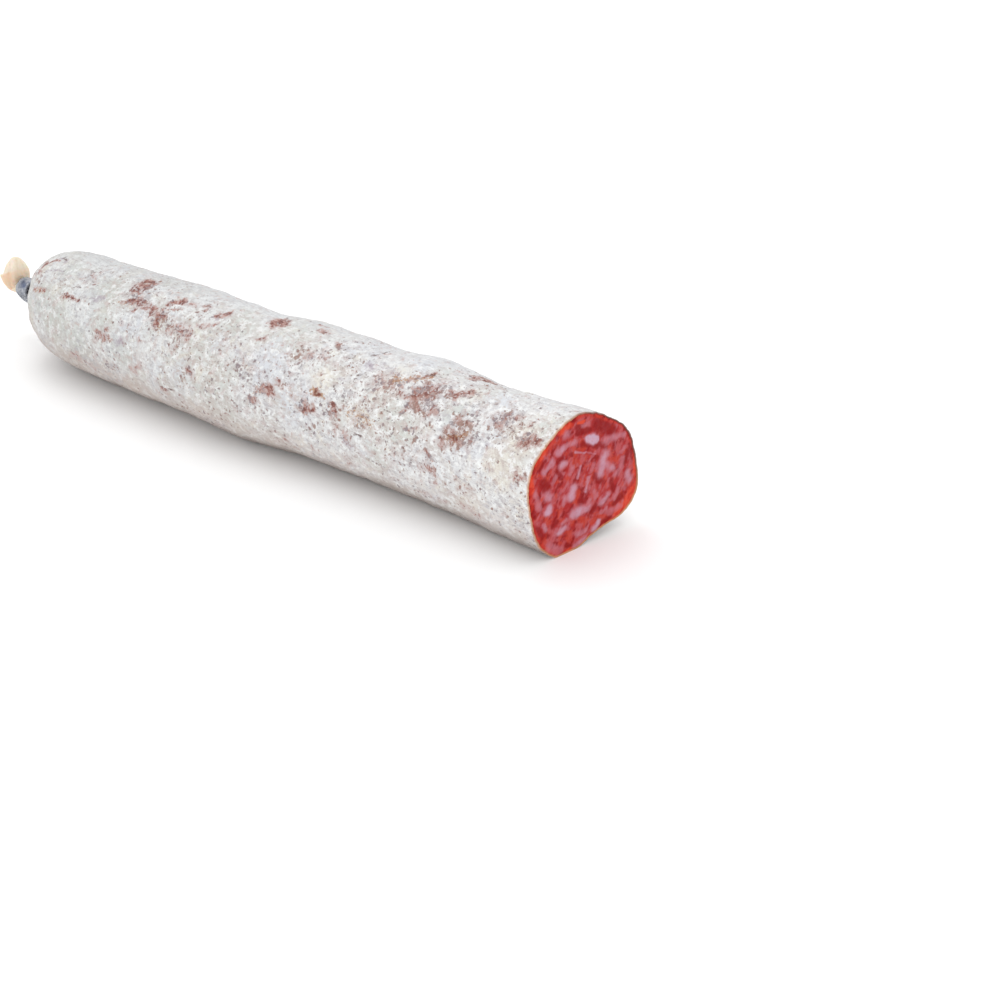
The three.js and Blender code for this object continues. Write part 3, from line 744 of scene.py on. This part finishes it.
def caster(points, faces):
    """A function that gives where a pixel's ray meets the surface, or None."""
    hit = bvhtree.BVHTree.FromPolygons([Vector(p) for p in points], faces)
    eye = Vector(CAMERA_PLACE)

    def cast(x, y):
        return hit.ray_cast(eye, pixel_ray(x, y))[0]

    return cast


def wandered(points, steps):
    """Points pushed about by noise: pairs of the noise's size and how far it pushes, in millimetres."""
    total = np.array(points, float)
    for size, reach in steps:
        total += reach * np.array([noise.noise_vector(Vector(p)) for p in np.asarray(points) / size + 40])
    return total


def tree_of(points):
    tree = kdtree.KDTree(len(points))
    for i, p in enumerate(points):
        tree.insert(p, i)
    tree.balance()
    return tree


def body_stations():
    neck_length = CLIP_START + CLIP_WIDTH - STICK_LENGTH
    body = np.arange(BODY_RINGS) / BODY_RINGS * DOME_START
    dome = DOME_START + DOME_LENGTH * np.sin(np.arange(DOME_RINGS) / DOME_RINGS * math.pi / 2)
    neck = STICK_LENGTH + np.arange(NECK_RINGS + 1) / NECK_RINGS * neck_length
    return np.concatenate([body, dome, neck])


def skin_relief(station, angle, base):
    """The skin's unevenness in millimetres, beyond the lumps: wrinkles, crust and soft dents."""
    # Wrinkles run mostly along the stick, at a slant, so their noise is drawn out that way.
    x, y, z = np.moveaxis(base, -1, 0)
    slanted = np.stack([x * 0.22 + z * 0.1, y - x * 0.05, z + x * 0.07], axis=-1)
    crest = 1 - np.minimum(1, np.abs(fractal(slanted, 5.5, 2, 3.1)) * 2.2)
    where = smoothstep(fractal(base, 34, 2, 8.0), -0.15, 0.45)
    on_top = np.exp(-(((np.degrees(angle) - 75) / 45) ** 2))
    wrinkles = crest**3 * (0.16 + 0.34 * where + 0.25 * on_top)
    soft = fractal(base, 13, 2, 5.0)
    crust = fractal(base, 2.6, 3, 1.0)
    lumpy = fractal(base, 6, 2, 12.0)
    body = smoothstep(STICK_LENGTH + 4 - station, 0, 12)
    return body * (0.38 * soft + 0.22 * lumpy - 0.6 * wrinkles + 0.2 * crust)


def hidden_strokes(count, seed):
    """Marks for the sides that the photograph doesn't show, as stations and angles along each."""
    draw = random.Random(seed)
    for _ in range(count):
        station = draw.uniform(6, STICK_LENGTH - 6)
        angle = math.radians(draw.uniform(-118, 48))
        length, slant = draw.uniform(1.5, 9), draw.uniform(-0.9, 0.5)
        shares = np.linspace(-0.5, 0.5, max(2, int(length / 1.2)))
        stations = np.clip(station + shares * length * math.cos(slant), 1, STICK_LENGTH - 1)
        angles = angle + shares * length * math.sin(slant) / MIDDLING_RADIUS
        yield stations, angles, draw.uniform(0.8, 2.8), draw.uniform(0.4, 1.1)


def dark_edge(angle):
    """Where the cut casing has dried dark: on the far side, over the top."""
    return smoothstep(np.cos(angle - math.radians(42)), 0.3, 0.9)


def painted_marks(flat, faces):
    """How strong each kind of mark is at the skin's points, first where the photograph shows them."""
    # Marks are painted on wandering points, so that their outlines are as ragged as worn mould.
    cast = caster(flat, faces)
    tree = tree_of(wandered(flat, ((4.5, 1.5), (1.9, 0.9))))
    fine_tree = tree_of(wandered(flat, ((3.0, 0.4),)))
    strokes = {"bare": BARE_STROKES, "bruise": BRUISE_STROKES, "rust": RUST_STROKES, "crack": CRACK_STROKES}
    zones = {"green": GREEN_TINTS, "blue": BLUE_TINTS, "cream": CREAM_TINTS, "flecked": FLECK_ZONES}
    fields = {name: np.zeros(len(flat)) for name in (*strokes, *zones)}
    for name, marks in strokes.items():
        for *ends, reach, strength in marks:
            near_tree, step = (fine_tree, FINE_STEP) if name == "crack" else (tree, WIDE_STEP)
            paint_line(near_tree, fields[name], ends, reach * STROKE_SPREAD[name], strength, cast, step)
    for name, tints in zones.items():
        for x, y, reach, strength in tints:
            paint_line(tree, fields[name], (x, y, x, y), reach * TINT_SPREAD, strength, cast)
    for name, count, seed in HIDDEN_MARKS:
        for stations, angles, reach, strength in hidden_strokes(count, seed):
            reach = HIDDEN_CRACK_REACH if name == "crack" else reach * STROKE_SPREAD[name]
            for place in skin_points(stations, angles, middle_height(stations)):
                paint(tree, fields[name], Vector(place), reach, strength)
    return fields


def tones_of(flat, stations, degrees):
    """How far the skin's points take painted shade below, at the floor contact and on top, and a darkening
    towards the clip.
    """
    share = smoothstep(stations, 0, STICK_LENGTH)
    # Painted shade on the underside, on both sides of the line the stick rests on, stronger towards the clip
    under = np.maximum(smoothstep(degrees + 12 * share, 180, 224), smoothstep(-degrees, 6, 48))
    under = under * (0.72 + 0.5 * share + 0.3 * fractal(flat, 15, 2, 21.0))
    # Painted shade low on the dome's near rim
    dome_rim_shade = smoothstep(stations, STICK_LENGTH - 17, STICK_LENGTH - 4) * smoothstep(degrees, 135, 180)
    under = np.maximum(under, 0.8 * dome_rim_shade)
    # Painted contact shade along the floor
    contact_shade = np.maximum(smoothstep(degrees, 210, 230), smoothstep(-degrees, 30, 50))
    # Painted shade on the top
    top_shade = smoothstep(degrees, 116, 66) * smoothstep(degrees, 5, 45)
    top_shade = top_shade * (1 + 0.35 * fractal(flat, 18, 2, 27.0))
    tones = {"under": under, "contact_shade": contact_shade, "top_shade": top_shade, "towards_clip": 0.1 + 0.9 * share}
    return {name: np.clip(values, 0, 1) for name, values in tones.items()}


def build_rind():
    """The mould-covered casing from the cut to the neck's end, closed behind the cut face."""
    station = body_stations()[:, None]
    angle = ring_angles[None, :]
    height = middle_height(station[:, 0])[:, None]
    base = skin_points(station, angle, height)
    points = skin_points(station, angle, height, skin_relief(station, angle, base))
    rows = len(station)
    flat = points.reshape(-1, 3)
    faces = grid_faces(rows, AROUND)
    fields = painted_marks(flat, faces)

    # Worn patches lie a little lower than the mould round them, and cracks lower still.
    sink = BARE_DEPTH * fields["bare"] + CRACK_DEPTH * fields["crack"]
    outward = flat - np.repeat(points.mean(axis=1), AROUND, axis=0)
    outward[:, 0] = 0
    outward /= np.maximum(1e-6, np.linalg.norm(outward, axis=1))[:, None]
    flat = flat - outward * sink[:, None]
    flat[:, 2] = np.maximum(0, flat[:, 2])

    # The casing turns in over the cut's edge, and a cap behind the cut face closes the shell.
    rim = flat[:AROUND]
    rim_middle = rim.mean(axis=0)
    turned = rim + (rim_middle - rim) * TURN_IN + np.array([TURN_OUT, 0, 0])
    behind = rim + (rim_middle - rim) * TURN_IN - np.array([CAP_DEPTH, 0, 0])
    inner_start, behind_start = len(flat), len(flat) + AROUND
    cap, tip = len(flat) + 2 * AROUND, len(flat) + 2 * AROUND + 1
    last = (rows - 1) * AROUND
    for i in range(AROUND):
        j = (i + 1) % AROUND
        faces.append((i, j, inner_start + j, inner_start + i))
        faces.append((inner_start + i, inner_start + j, behind_start + j, behind_start + i))
        faces.append((behind_start + i, behind_start + j, cap))
        faces.append((last + j, last + i, tip))
    whole = np.vstack([flat, turned, behind, behind.mean(axis=0), flat[last:].mean(axis=0)])

    # Where the photograph shows nothing, the flecks crowd at random.
    seen = np.clip(np.cos(angle - math.radians(145)), 0, 1).repeat(rows, axis=0).ravel()
    chance = np.clip(0.35 + 1.2 * fractal(flat, 22, 2, 17.0), 0, 1)
    fields["flecked"] = np.maximum(fields["flecked"], chance * (1 - 0.75 * seen))

    piece = new_piece("rind", whole, faces, casing_material())
    degrees = np.degrees(np.broadcast_to(angle, points.shape[:2])).ravel()
    stations = np.broadcast_to(station, points.shape[:2]).ravel()
    fields.update(tones_of(flat, stations, degrees))
    around = np.radians(degrees) * STICK_RADII[0]
    fields["unrolled"] = np.stack([stations, around, np.zeros(len(flat))], axis=-1) * MM
    # Painted shade on the neck next to the clip, deeper in the gathers' valleys, and at the neck's end
    folded = np.clip(1 - 0.25 * gather_wave(angle), 0, 1).repeat(rows, axis=0).ravel()
    fields["fold"] = np.zeros(len(whole))
    fields["fold"][: len(flat)] = folded * smoothstep(stations, STICK_LENGTH - 6, STICK_LENGTH + 3)
    fields["fold"][tip] = 1.0
    fields["edge"] = np.zeros(len(whole))
    fields["edge"][:AROUND] = 0.75
    fields["edge"][inner_start : cap + 1] = 1.0
    dark_ring = dark_edge(ring_angles)
    fields["edge_dark"] = np.concatenate([dark_edge(np.radians(degrees)), dark_ring, dark_ring])
    for name, values in fields.items():
        add_field(piece, name, values)
    return piece, rim


# Lumps of fat in the cut face, each a stroke by where its ends show in the photograph, in pixels, then its
# half width in millimetres and how bright it is.
FAT_STROKES = (
    (587, 439, 597, 439, 1.5, 1.2), (592, 438, 592, 440, 2.0, 1.2), (606, 440, 613, 437, 1.7, 0.4),
    (613, 437, 623, 434, 1.5, 0.4), (565, 436, 567, 435, 1.7, 0.3), (558, 454, 563, 448, 1.6, 0.6),
    (563, 448, 575, 442, 1.2, 0.4), (576, 452, 585, 452, 0.6, 0.6), (606, 454, 603, 459, 2.4, 0.6),
    (585, 452, 595, 454, 0.4, 0.4), (603, 463, 600, 472, 2.4, 0.7), (606, 464, 613, 468, 1.7, 0.5),
    (622, 459, 621, 466, 1.3, 0.3), (627, 472, 629, 480, 1.8, 0.5), (562, 465, 565, 464, 1.6, 0.7),
    (553, 462, 544, 473, 1.3, 0.5), (573, 489, 571, 497, 2.2, 0.7), (588, 478, 586, 491, 0.9, 0.5),
    (548, 496, 548, 499, 1.9, 0.6), (549, 508, 548, 512, 2.0, 0.8), (608, 493, 601, 503, 1.4, 0.6),
    (573, 514, 579, 511, 2.5, 0.7), (579, 511, 588, 508, 2.2, 0.6), (558, 533, 565, 528, 1.6, 0.7),
    (599, 521, 594, 528, 1.3, 0.8), (577, 534, 585, 530, 1.5, 0.4), (575, 545, 584, 540, 1.5, 0.5),
    (550, 548, 558, 552, 1.9, 0.3), (535, 495, 539, 509, 1.2, 0.3), (620, 506, 608, 512, 1.3, 0.2),
    (580, 467, 578, 477, 0.8, 0.5), (564, 498, 563, 505, 1.1, 0.4), (614, 475, 618, 469, 0.8, 0.3),
    (618, 489, 614, 498, 1.0, 0.3), (594, 492, 596, 497, 1.2, 0.2), (543, 525, 545, 531, 1.2, 0.5),
    (570, 474, 573, 468, 0.9, 0.3), (590, 500, 586, 505, 1.0, 0.3), (601, 512, 606, 508, 0.9, 0.3),
    (566, 520, 562, 524, 0.9, 0.4), (552, 483, 556, 477, 1.0, 0.3), (588, 424, 583, 426, 1.0, 0.2),
    (624, 447, 621, 452, 1.0, 0.2), (593, 464, 590, 472, 0.9, 0.2),
)
# Deep red lean, and orange-red places in the rim, in the same way but without the brightness
DEEP_STROKES = (
    (598, 424, 612, 431, 2.6), (577, 427, 581, 432, 1.5), (543, 484, 546, 488, 2.2),
    (628, 451, 625, 462, 1.5), (631, 444, 633, 456, 1.7), (571, 547, 566, 545, 1.3),
    (532, 508, 533, 518, 1.2), (603, 523, 608, 519, 1.4), (600, 444, 606, 447, 1.4),
    (595, 476, 600, 480, 1.6), (558, 470, 561, 478, 1.2), (621, 496, 614, 503, 1.5),
    (540, 470, 545, 462, 1.2), (582, 497, 580, 503, 1.2), (553, 526, 557, 522, 1.2),
    (611, 480, 613, 490, 1.1), (538, 530, 542, 538, 1.3), (590, 430, 578, 433, 1.3),
    (583, 444, 597, 446, 1.2), (592, 512, 596, 506, 1.2),
)
GLOW_STROKES = (
    (530, 476, 531, 492, 1.4), (536, 463, 546, 450, 1.6), (560, 432, 570, 425, 1.4),
    (578, 423, 584, 421, 0.7), (632, 492, 628, 503, 3.4), (628, 500, 617, 511, 2.2),
    (635, 458, 636, 474, 1.1), (600, 530, 590, 537, 1.2), (545, 551, 556, 556, 1.5),
    (566, 552, 579, 546, 1.3), (556, 426, 548, 440, 1.5),
)


# The cut face: how far inside the rind it starts, as a share of its radius, then in millimetres that radius
# and how thick the face is
CUT_INSET = 0.012
CUT_RADIUS = 27
CUT_THICKNESS = 1.0


def build_cut_face(rim):
    """The cut face: rings that shrink towards the middle, with the fat standing a little proud."""
    middle = rim.mean(axis=0)
    shares = 1 - np.linspace(CUT_INSET, 1, CUT_RINGS + 1)[:-1]
    base = middle + (rim - middle)[None] * shares[:, None, None]
    front_count = CUT_RINGS * AROUND
    flat = base.reshape(-1, 3)
    faces = [face[::-1] for face in grid_faces(CUT_RINGS, AROUND)]

    cast = caster(flat, faces)
    tree = tree_of(wandered(flat, ((3.5, 0.6), (1.4, 0.22))))
    fat, bright, deep, glow = (np.zeros(front_count) for _ in range(4))
    for *ends, reach, light in FAT_STROKES:
        paint_line(tree, fat, ends, reach * FAT_SPREAD, 1.0, cast, FINE_STEP)
        paint_line(tree, bright, ends, reach * BRIGHT_SPREAD, light, cast, FINE_STEP)
    for values, marks in ((deep, DEEP_STROKES), (glow, GLOW_STROKES)):
        for *ends, reach in marks:
            paint_line(tree, values, ends, reach * FAT_SPREAD, 1.0, cast, FINE_STEP)

    # Proud fat, the knife's slight waves and a rim that curls in a little
    depth = (1 - np.repeat(shares, AROUND)) * CUT_RADIUS
    proud = 0.14 * smoothstep(fat, 0.3, 0.7)
    proud += 0.1 * fractal(flat, 1.8, 3, 2.0) + 0.22 * fractal(flat, 11, 2, 6.0)
    proud += 0.035 * np.sin((flat[:, 2] * 0.9 + flat[:, 1] * 0.25) * 2.1)
    curl = -0.35 * np.exp(-((depth / 1.3) ** 2))
    front = flat + np.array([1.0, 0, 0]) * (proud * smoothstep(depth, 0.2, 1.6) + curl)[:, None]

    # The slab behind the face
    back = front[:AROUND] - np.array([CUT_THICKNESS, 0, 0])
    centre, back_centre = front_count + AROUND, front_count + AROUND + 1
    inner = front_count - AROUND
    for i in range(AROUND):
        j = (i + 1) % AROUND
        faces.append((inner + i, inner + j, centre))
        faces.append((j, i, front_count + i, front_count + j))
        faces.append((front_count + j, front_count + i, back_centre))
    points = np.vstack([front, back, front[inner:].mean(axis=0), back.mean(axis=0)])
    piece = new_piece("cut_face", points, faces, meat_material())

    width = 1.7 + 0.8 * fractal(flat, 9, 2, 3.0)
    fields = {
        "rim": 1 - smoothstep(depth, 0.4 * width, 1.7 * width),
        "casing_edge": 0.8 * (1 - smoothstep(depth, 0.45, 0.85)),
        "edge_dark": np.tile(dark_edge(ring_angles), CUT_RINGS),
        "fat": fat,
        "bright": bright,
        "deep": deep,
        "glow": glow,
    }
    for name, values in fields.items():
        add_field(piece, name, np.concatenate([values, np.zeros(AROUND), values[-1:]]))
    return piece


# The clip, as in the solids
GAP = 0.3
CLIP_INNER = float(plain_radius(np.array(CLIP_START))) * (1 + NECK_GATHER) + GAP
CLIP_METAL = 1.9
LEG_LENGTH = 0.42
LEG_PINCH = 0.3
SEAM_HALF_WIDTH = 0.35
CLIP_AROUND = 190
CLIP_SECTION = 44
# The tool's teeth marks on one leg: where they begin and end, in degrees, and how many fit in a whole turn
TEETH_FROM, TEETH_TO, TEETH = 188, 262, 31
# A dint drawn only as painted shade, a dark spot, by where it shows in the photograph, in pixels
DINT_SHADE_LINE = (23, 282.5, 24, 286)


def build_clip():
    """A band bent round the neck with its legs meeting below, rounded edges and the tool's marks."""
    start = -math.pi / 2 + math.asin((SEAM_HALF_WIDTH + 0.3) / (CLIP_INNER + CLIP_METAL / 2))
    turn = np.linspace(start, math.pi - start, CLIP_AROUND)[:, None]
    low = np.maximum(0, -np.sin(turn)) ** 2
    # The section is a rounded bar: half width along the stick, half thickness outwards.
    section = full_turn(CLIP_SECTION)
    across = np.sign(np.cos(section)) * np.abs(np.cos(section)) ** 0.4
    outward = np.sign(np.sin(section)) * np.abs(np.sin(section)) ** 0.5
    outer = np.maximum(0, outward)

    degrees = np.degrees(turn)
    toothed = smoothstep(degrees, TEETH_FROM, TEETH_FROM + 8)
    toothed = toothed * (1 - smoothstep(degrees, TEETH_TO - 6, TEETH_TO))
    teeth = np.maximum(0, np.cos(TEETH * turn + 0.6 * across)) * toothed * outer
    crease = np.exp(-(((across - 0.25 * np.sin(3 * turn)) / 0.16) ** 2)) * outer * (1 - toothed)
    worn = np.array([[noise.noise(Vector((t * 1.6, c * 0.8, 4.0))) for c in across[0]] for t in turn[:, 0]])

    half = CLIP_METAL / 2
    radius = CLIP_INNER + half + half * outward - 0.28 * teeth - 0.12 * crease + 0.3 * worn * outer
    spread = outward * 0.5 + 0.5
    y = radius * np.cos(turn) * (1 - LEG_PINCH * low * spread)
    side = np.where(turn < math.pi / 2, 1, -1)
    y = side * np.maximum(SEAM_HALF_WIDTH, side * y)
    z = radius * np.sin(turn) * (1 + LEG_LENGTH * low * spread)
    taper = 1 - 0.2 * smoothstep(low, 0.5, 1.0)
    x = -CLIP_START - CLIP_WIDTH / 2 - across * CLIP_WIDTH / 2 * taper * (1 - 0.05 * np.abs(worn))
    points, faces = closed_tube(np.stack([x, neck_across + y, neck_height + z], axis=-1))
    piece = new_piece("clip_band", points, faces, clip_material())
    # A dint drawn only as painted shade
    dint_shade = np.zeros(len(points))
    paint_line(tree_of(points), dint_shade, DINT_SHADE_LINE, 2.0, 1.0, caster(points, faces), 1.0)
    # Painted shade in the teeth marks and the crease
    groove_shade = np.maximum(teeth**0.7, 0.5 * crease).ravel()
    add_field(piece, "groove_shade", groove_shade)
    add_field(piece, "dint_shade", dint_shade)
    return piece


# The casing end, as in the solids
BAG_HALF = (5.5, 6.9, 9.2)
BAG_FORWARD = 6.4
BAG_SIDE = 1.4
BAG_RISE = 5.1
BAG_LEAN = 0.1
BAG_TAPER = 0.22
BAG_PLEATS = 7
PLEAT_DEPTH = 0.035
FLAP_HEIGHT = 1.6
BAG_ROWS = 130
BAG_AROUND = 200
# Ways across the table, as shares of X and Y: to where the turned-over edge stands out most, and to its
# near side
FLAP_WAY = (-0.81, -0.59)
NEAR_WAY = (0.59, -0.81)


def build_casing_end():
    """The puffed bag: an egg of soft pleats that run down to the clip, with its lower edge turned over."""
    polar = np.linspace(0, math.pi, BAG_ROWS + 2)[1:-1][:, None]
    turn = full_turn(BAG_AROUND)
    x, y, z = np.sin(polar) * np.cos(turn), np.sin(polar) * np.sin(turn), np.cos(polar) + 0 * turn
    sphere = np.stack([x, y, z], axis=-1)
    from_axis = np.hypot(x, y)

    wander = fractal(sphere, 0.9, 2, 4.0)
    wave = np.cos(BAG_PLEATS * turn + 1.1 * np.sin(2 * turn) + 1.8 * wander)
    gathered = smoothstep(-z, -0.3, 0.9)
    fine = np.cos(19 * turn + 3 * wander + 2 * z) * (0.003 + 0.016 * gathered)
    pleat = from_axis * (PLEAT_DEPTH * (0.4 + 1.1 * gathered) * wave + fine)
    crumple = 0.03 * fractal(sphere, 0.5, 2, 9.0)
    width = (1 + pleat + crumple) * (1 - BAG_TAPER * smoothstep(z, 0, 1))

    # The edge of the turned-over part rises from the far side of the bag to the near one.
    near = x * NEAR_WAY[0] + y * NEAR_WAY[1]
    outwards = x * FLAP_WAY[0] + y * FLAP_WAY[1]
    below = 0.5 * near - 0.07 + 0.05 * wander - z
    stands_out = np.maximum(0, outwards) ** 2
    flap = smoothstep(below, -0.02, 0.05) * (1 - smoothstep(below, 0.1, 0.85))
    flap = flap * FLAP_HEIGHT * (0.05 * from_axis + 0.95 * stands_out)
    up = z * BAG_HALF[2] * (1 + 0.4 * crumple)
    points = np.stack(
        [
            x * BAG_HALF[0] * width + FLAP_WAY[0] * flap + BAG_LEAN * up,
            y * BAG_HALF[1] * width + FLAP_WAY[1] * flap,
            up + 0.3 * flap,
        ],
        axis=-1,
    )
    # Low down, the bag stays clear of the clip's outer face.
    clear = np.where(points[..., 2] < 1.0, BAG_FORWARD - GAP, BAG_FORWARD + CLIP_WIDTH)
    points[..., 0] = np.minimum(points[..., 0], clear)
    centre = (-(CLIP_START + CLIP_WIDTH + BAG_FORWARD), neck_across + BAG_SIDE, neck_height + BAG_RISE)
    piece = new_piece("casing_bag", *closed_tube(points + np.array(centre)), bare_casing_material())
    low = smoothstep(below - 0.25 * outwards, -0.12, 0.14) * (0.4 + 0.6 * smoothstep(outwards, -0.15, 0.3))
    # Painted shade in the pleats' valleys, deeper where they gather
    pleat_valley_shade = (0.35 + 0.65 * gathered) * np.maximum(0, -wave) ** 2 * from_axis
    # A painted highlight on the bag's upper near side
    painted_highlight = np.exp(-(((near - 0.62) / 0.3) ** 2) - ((outwards - 0.02) / 0.2) ** 2 - ((z - 0.62) / 0.3) ** 2)
    for name, values, bottom in (("low", low, 1), ("pleat", pleat_valley_shade, 1), ("painted_highlight", painted_highlight, 0)):
        add_field(piece, name, [*values.ravel(), 0, bottom])
    return piece


THROAT_ROWS, THROAT_AROUND = 14, 90


def build_throat():
    """The short throat between the clip and the bag, with the gathered folds running on."""
    shares = np.linspace(0, 1, THROAT_ROWS)[:, None]
    turn = full_turn(THROAT_AROUND)
    radius = NECK_RADIUS * (1 + 0.4 * shares) * (1 + 0.1 * np.cos(BAG_PLEATS * turn + 0.6))
    x = -(CLIP_START + CLIP_WIDTH + GAP) - shares * (BAG_FORWARD - GAP) * 0.8 + 0 * turn
    y = neck_across + radius * np.cos(turn)
    z = neck_height + radius * np.sin(turn)
    points, faces = closed_tube(np.stack([x, y, z], axis=-1))
    piece = new_piece("casing_throat", points, faces, bpy.data.materials["bare_casing"])
    # The throat takes painted pleat shade all over, and no painted highlight
    for name, value in (("low", 1.0), ("pleat", 0.5), ("painted_highlight", 0.0)):
        add_field(piece, name, np.full(len(points), value))
    return piece


rind, cut_rim = build_rind()
cut_face = build_cut_face(cut_rim)
clip_band = build_clip()
casing_bag = build_casing_end()
casing_throat = build_throat()

for made, node, slot in (
    (rind, "sausage", "casing"),
    (cut_face, "sausage", "meat"),
    (clip_band, "clip", "clip_metal"),
    (casing_bag, "casing_end", "bare_casing"),
    (casing_throat, "casing_end", "bare_casing"),
):
    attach(made, "root")
    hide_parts(node)


# The floor's half width, the white all round and the key light, in metres, strengths and watts
FLOOR_HALF = 6.0
FLOOR_WHITE = (0.93, 0.93, 0.93)
SURROUNDING_STRENGTH = 1.2
KEY_PLACE = (-0.35, 0.15, 1.1)
KEY_SIZE = 0.5
KEY_POWER = 1.2


def build_stage():
    """A plain white floor, a white surrounding, and a soft light from above and a little behind."""
    floor_mesh = bpy.data.meshes.new("floor")
    corners_of_floor = [(-FLOOR_HALF, -FLOOR_HALF, 0), (FLOOR_HALF, -FLOOR_HALF, 0)]
    corners_of_floor += [(FLOOR_HALF, FLOOR_HALF, 0), (-FLOOR_HALF, FLOOR_HALF, 0)]
    floor_mesh.from_pydata(corners_of_floor, [], [(0, 1, 2, 3)])
    floor = bpy.data.objects.new("floor", floor_mesh)
    bpy.context.scene.collection.objects.link(floor)
    floor_mesh.materials.append(Graph("floor").finish(FLOOR_WHITE, 0.9, Specular_IOR_Level=0.1))

    world = bpy.data.worlds.new("surrounding")
    bpy.context.scene.world = world
    world.use_nodes = True
    sky = world.node_tree.nodes["Background"]
    sky.inputs["Color"].default_value = (1, 1, 1, 1)
    sky.inputs["Strength"].default_value = SURROUNDING_STRENGTH

    lamp = bpy.data.lights.new("key", "AREA")
    lamp.size = KEY_SIZE
    lamp.energy = KEY_POWER
    key = bpy.data.objects.new("key", lamp)
    key.location = KEY_PLACE
    key.rotation_mode = "QUATERNION"
    key.rotation_quaternion = (-Vector(KEY_PLACE)).to_track_quat("-Z", "Y")
    bpy.context.scene.collection.objects.link(key)
    bpy.context.scene.view_settings.view_transform = "Standard"


build_stage()
